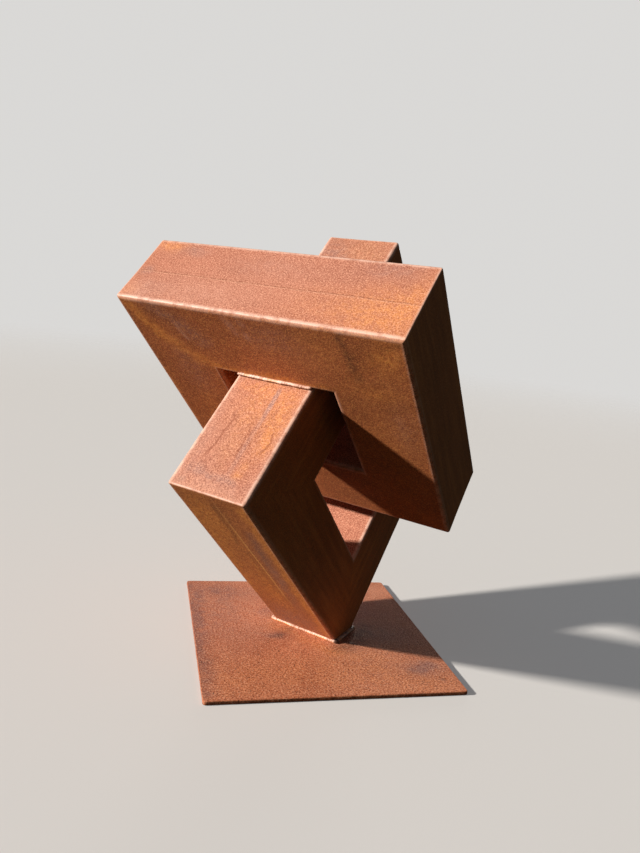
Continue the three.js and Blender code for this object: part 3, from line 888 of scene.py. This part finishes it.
def plate_rust():
    g = Graph("rusted_plate")
    co = g.coords()
    orange, purple, dark = g.split("stain_a")
    pale, pits, _ = g.split("stain_b")
    edge = g.attribute("edge").outputs["Fac"]
    speck = g.noise(co, 430.0, 2.0, 0.6)
    fine = g.noise(co, 900.0, 1.0, 0.5)
    mottle = g.noise(co, 80.0, 4.0, 0.6)
    patch = g.noise(co, 17.0, 3.0, 0.55, 0.3)
    drift = g.noise(co, 6.0, 2.0, 0.5)
    tone = g.add(g.mul(patch, 0.34), g.mul(mottle, 0.38), g.mul(drift, 0.28))
    colour = g.colours(tone, [(0.36, (0.420, 0.130, 0.063)), (0.46, (0.520, 0.176, 0.088)), (0.55, (0.610, 0.222, 0.116)), (0.68, (0.690, 0.280, 0.156))])

    def broken(amount):
        return g.math("MULTIPLY", amount, g.ramp(mottle, 0.30, 0.66, 0.45, 1.2), clamp=True)

    colour = g.mix(g.mul(broken(orange), 0.75), colour, g.colours(speck, [(0.4, (0.600, 0.190, 0.062)), (0.7, (0.680, 0.265, 0.095))]))
    colour = g.mix(g.mul(broken(pale), 0.45), colour, (0.660, 0.310, 0.205))
    colour = g.mix(g.mul(broken(purple), 0.80), colour, (0.215, 0.108, 0.100))
    # dark stains, with painted shade beside the foot
    colour = g.mix(g.mul(broken(dark), 0.7), colour, NEAR_BLACK_BROWN)
    colour = g.mix(g.ramp(speck, 0.50, 0.68, 0.0, 0.60), colour, (0.820, 0.430, 0.270))
    colour = g.mix(g.ramp(speck, 0.50, 0.33, 0.0, 0.75), colour, (0.260, 0.068, 0.028))
    colour = g.mix(g.ramp(fine, 0.45, 0.30, 0.0, 0.55), colour, (0.180, 0.050, 0.024))
    crumb = g.noise(co, 400.0, 2.0, 0.6)
    colour = g.mix(g.mul(g.ramp(crumb, 0.46, 0.35), pits, 0.70), colour, (0.150, 0.042, 0.018))
    # open pits
    spots = g.cells(co, 190.0)
    size = g.noise(co, 90.0, 1.0)
    hole = g.mul(g.ramp(spots, g.ramp(size, 0.40, 0.68, 0.04, 0.30), 0.02, 0.0, 1.0), pits)
    hole = g.math("MULTIPLY", hole, g.ramp(size, 0.46, 0.58), clamp=True)
    colour = g.mix(g.mul(hole, 0.9), colour, NEAR_BLACK_BROWN)
    colour = g.mix(g.mul(edge, 0.35), colour, RUST_BROWN)
    rough = g.add(0.80, g.mul(g.math("SUBTRACT", mottle, 0.5), 0.20), g.mul(purple, -0.06))
    height = g.add(g.mul(speck, 0.7), g.mul(fine, 0.2), g.mul(mottle, 0.6), g.mul(hole, -0.7))
    normal = g.bump(height, 0.0007, 0.8)
    return g.finish(colour, rough, normal, 0.22)


def weld_rust():
    g = Graph("weld_bead")
    co = g.coords()
    scallop, crown, under = g.split("bead")
    speck = g.noise(co, 420.0, 3.0, 0.6)
    mottle = g.noise(co, 130.0, 3.0, 0.6)
    patch = g.noise(co, 45.0, 2.0, 0.5)
    colour = g.colours(g.add(g.mul(patch, 0.6), g.mul(mottle, 0.4)),
                       [(0.38, (0.260, 0.095, 0.045)), (0.45, (0.540, 0.290, 0.200)), (0.54, (0.740, 0.520, 0.430)), (0.64, (0.660, 0.340, 0.150))])
    painted_shade_side = g.attribute("bead_painted_shade").outputs["Fac"]
    toe = g.ramp(crown, -0.35, 0.15, 1.0, 0.0)
    colour = g.mix(g.mul(toe, g.ramp(patch, 0.40, 0.56, 0.35, 1.0)), colour, (0.640, 0.250, 0.045))
    # painted crevice shade: the underside of a ring bead goes near black
    colour = g.mix(g.mul(under, 0.9), colour, (0.060, 0.024, 0.013))
    # painted shade: the foot bead's side turned from the key light goes dark
    colour = g.mix(g.mul(painted_shade_side, g.ramp(patch, 0.62, 0.50, 0.35, 1.0)), colour, (0.085, 0.045, 0.030))
    colour = g.mix(g.ramp(scallop, 0.965, 0.88, 0.0, 0.55), colour, (0.26, 0.11, 0.06))
    colour = g.mix(g.ramp(speck, 0.44, 0.30, 0.0, 0.6), colour, RUST_BROWN)
    rough = g.add(0.50, g.mul(g.math("SUBTRACT", mottle, 0.5), 0.3), g.mul(toe, 0.18))
    normal = g.bump(g.add(g.mul(speck, 0.6), g.mul(mottle, 0.5)), 0.0004, 0.7)
    return g.finish(colour, rough, normal)


tube_material = tube_rust()
plate_material = plate_rust()
weld_material = weld_rust()

for obj, material in ((lower_ring, tube_material), (upper_ring, tube_material), (plate, plate_material),
                      (foot_weld_bead, weld_material), (front_bead, weld_material), (rear_bead, weld_material)):
    obj.data.materials.append(material)

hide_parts("lower_ring_front_upper_bar", "lower_ring_rear_upper_bar", "lower_ring_rear_lower_bar", "lower_ring_front_lower_bar")
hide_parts("upper_ring_top_bar", "upper_ring_left_bar", "upper_ring_bottom_bar", "upper_ring_right_bar")
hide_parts("base_plate")
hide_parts("foot_weld")
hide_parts("front_ring_weld")
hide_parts("rear_ring_weld")
for obj, slot in ((lower_ring, "rusted_tube"), (upper_ring, "rusted_tube"), (plate, "rusted_plate"),
                  (foot_weld_bead, "weld"), (front_bead, "weld"), (rear_bead, "weld")):
    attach(obj, "root")

# ---- studio -------------------------------------------------------------
scene = bpy.context.scene
scene.view_settings.view_transform = "Standard"


def disc(name, radius, z, rings=12, around=96):
    points, faces = [(0, 0, z)], []
    for i in range(1, rings + 1):
        r = radius * (i / rings) ** 1.6
        for j in range(around):
            a = 2 * math.pi * j / around
            points.append((r * math.cos(a), r * math.sin(a), z))
    for j in range(around):
        faces.append((0, 1 + j, 1 + (j + 1) % around))
    for i in range(rings - 1):
        for j in range(around):
            a, b = 1 + i * around, 1 + (i + 1) * around
            faces.append((a + j, b + j, b + (j + 1) % around, a + (j + 1) % around))
    return new_mesh(name, np.array(points), faces, {})


def floor_material():
    g = Graph("pale_floor")
    co = g.coords()
    n = g.node("ShaderNodeSeparateXYZ")
    g.put(n.inputs[0], co)
    away = g.math("SQRT", g.add(g.mul(n.outputs[0], n.outputs[0]), g.mul(n.outputs[1], n.outputs[1])))
    fade = g.ramp(away, 1.8, 7.0)
    surface = g.node("ShaderNodeBsdfDiffuse")
    surface.inputs["Color"].default_value = (0.60, 0.595, 0.585, 1)
    lift = g.node("ShaderNodeEmission")
    lift.inputs["Color"].default_value = (0.70, 0.69, 0.68, 1)
    lift.inputs["Strength"].default_value = 0.16
    shader = g.node("ShaderNodeAddShader")
    g.tree.links.new(surface.outputs[0], shader.inputs[0])
    g.tree.links.new(lift.outputs[0], shader.inputs[1])
    clear = g.node("ShaderNodeBsdfTransparent")
    both = g.node("ShaderNodeMixShader")
    out = g.node("ShaderNodeOutputMaterial")
    g.put(both.inputs[0], fade)
    g.tree.links.new(shader.outputs[0], both.inputs[1])
    g.tree.links.new(clear.outputs[0], both.inputs[2])
    g.tree.links.new(both.outputs[0], out.inputs["Surface"])
    return g.material


floor = disc("floor", 9.0, -0.0003)
floor.data.materials.append(floor_material())
floor.visible_diffuse = False        # the part is lit by the studio, not by the floor
floor.visible_glossy = False

world = bpy.data.worlds.new("studio")
scene.world = world
world.use_nodes = True
tree = world.node_tree
tree.nodes.clear()
seen = tree.nodes.new("ShaderNodeBackground")
seen.inputs["Color"].default_value = (0.70, 0.69, 0.675, 1)
seen.inputs["Strength"].default_value = 1.0
# the fill: a broad pale ceiling, weaker from below
where = tree.nodes.new("ShaderNodeTexCoord")
height = tree.nodes.new("ShaderNodeSeparateXYZ")
tree.links.new(where.outputs["Generated"], height.inputs[0])
shades = tree.nodes.new("ShaderNodeValToRGB")
shades.color_ramp.elements[0].position = 0.30
shades.color_ramp.elements[0].color = (0.040, 0.034, 0.023, 1)
shades.color_ramp.elements[1].position = 0.95
shades.color_ramp.elements[1].color = (0.095, 0.108, 0.135, 1)
middle = shades.color_ramp.elements.new(0.56)
middle.color = (0.080, 0.074, 0.058, 1)
half_up = tree.nodes.new("ShaderNodeMath")
half_up.operation = "MULTIPLY_ADD"
half_up.inputs[1].default_value = 0.5
half_up.inputs[2].default_value = 0.5
tree.links.new(height.outputs[2], half_up.inputs[0])
tree.links.new(half_up.outputs[0], shades.inputs[0])
fill = tree.nodes.new("ShaderNodeBackground")
tree.links.new(shades.outputs[0], fill.inputs["Color"])
fill.inputs["Strength"].default_value = 1.0
path_node = tree.nodes.new("ShaderNodeLightPath")
chosen = tree.nodes.new("ShaderNodeMixShader")
world_out = tree.nodes.new("ShaderNodeOutputWorld")
tree.links.new(path_node.outputs["Is Camera Ray"], chosen.inputs[0])
tree.links.new(fill.outputs[0], chosen.inputs[1])
tree.links.new(seen.outputs[0], chosen.inputs[2])
tree.links.new(chosen.outputs[0], world_out.inputs["Surface"])


key_data = bpy.data.lights.new("key", "SUN")
key_data.energy = 7.0
key_data.angle = math.radians(3.5)
key_data.color = (1.0, 0.93, 0.85)
key = bpy.data.objects.new("key", key_data)
scene.collection.objects.link(key)
key.rotation_euler = Vector((-0.9342, -0.0116, 0.3566)).to_track_quat("Z", "Y").to_euler()

# a broad weak light from behind, so that the far sides read too
back_data = bpy.data.lights.new("back", "SUN")
back_data.energy = 1.4
back_data.angle = math.radians(24.0)
back_data.color = (1.0, 0.96, 0.90)
back = bpy.data.objects.new("back", back_data)
scene.collection.objects.link(back)
back.rotation_euler = Vector((0.42, 0.90, 0.04)).to_track_quat("Z", "Y").to_euler()

camera_data = bpy.data.cameras.new("camera")
camera_data.sensor_fit = "HORIZONTAL"
camera_data.sensor_width = 36.0
camera_data.lens = 37.268
camera = bpy.data.objects.new("camera", camera_data)
scene.collection.objects.link(camera)
right = Vector((0.9625991, -0.2447157, 0.1162631))
down = Vector((0.0697110, -0.1909628, -0.9791188))
ahead = Vector((0.2618077, 0.9506037, -0.1667613))
pose = Matrix.Identity(4)
for row in range(3):
    pose[row][0], pose[row][1], pose[row][2] = right[row], -down[row], -ahead[row]
pose[0][3], pose[1][3], pose[2][3] = -0.254244, -0.843545, 0.445944
camera.matrix_world = pose
scene.camera = camera
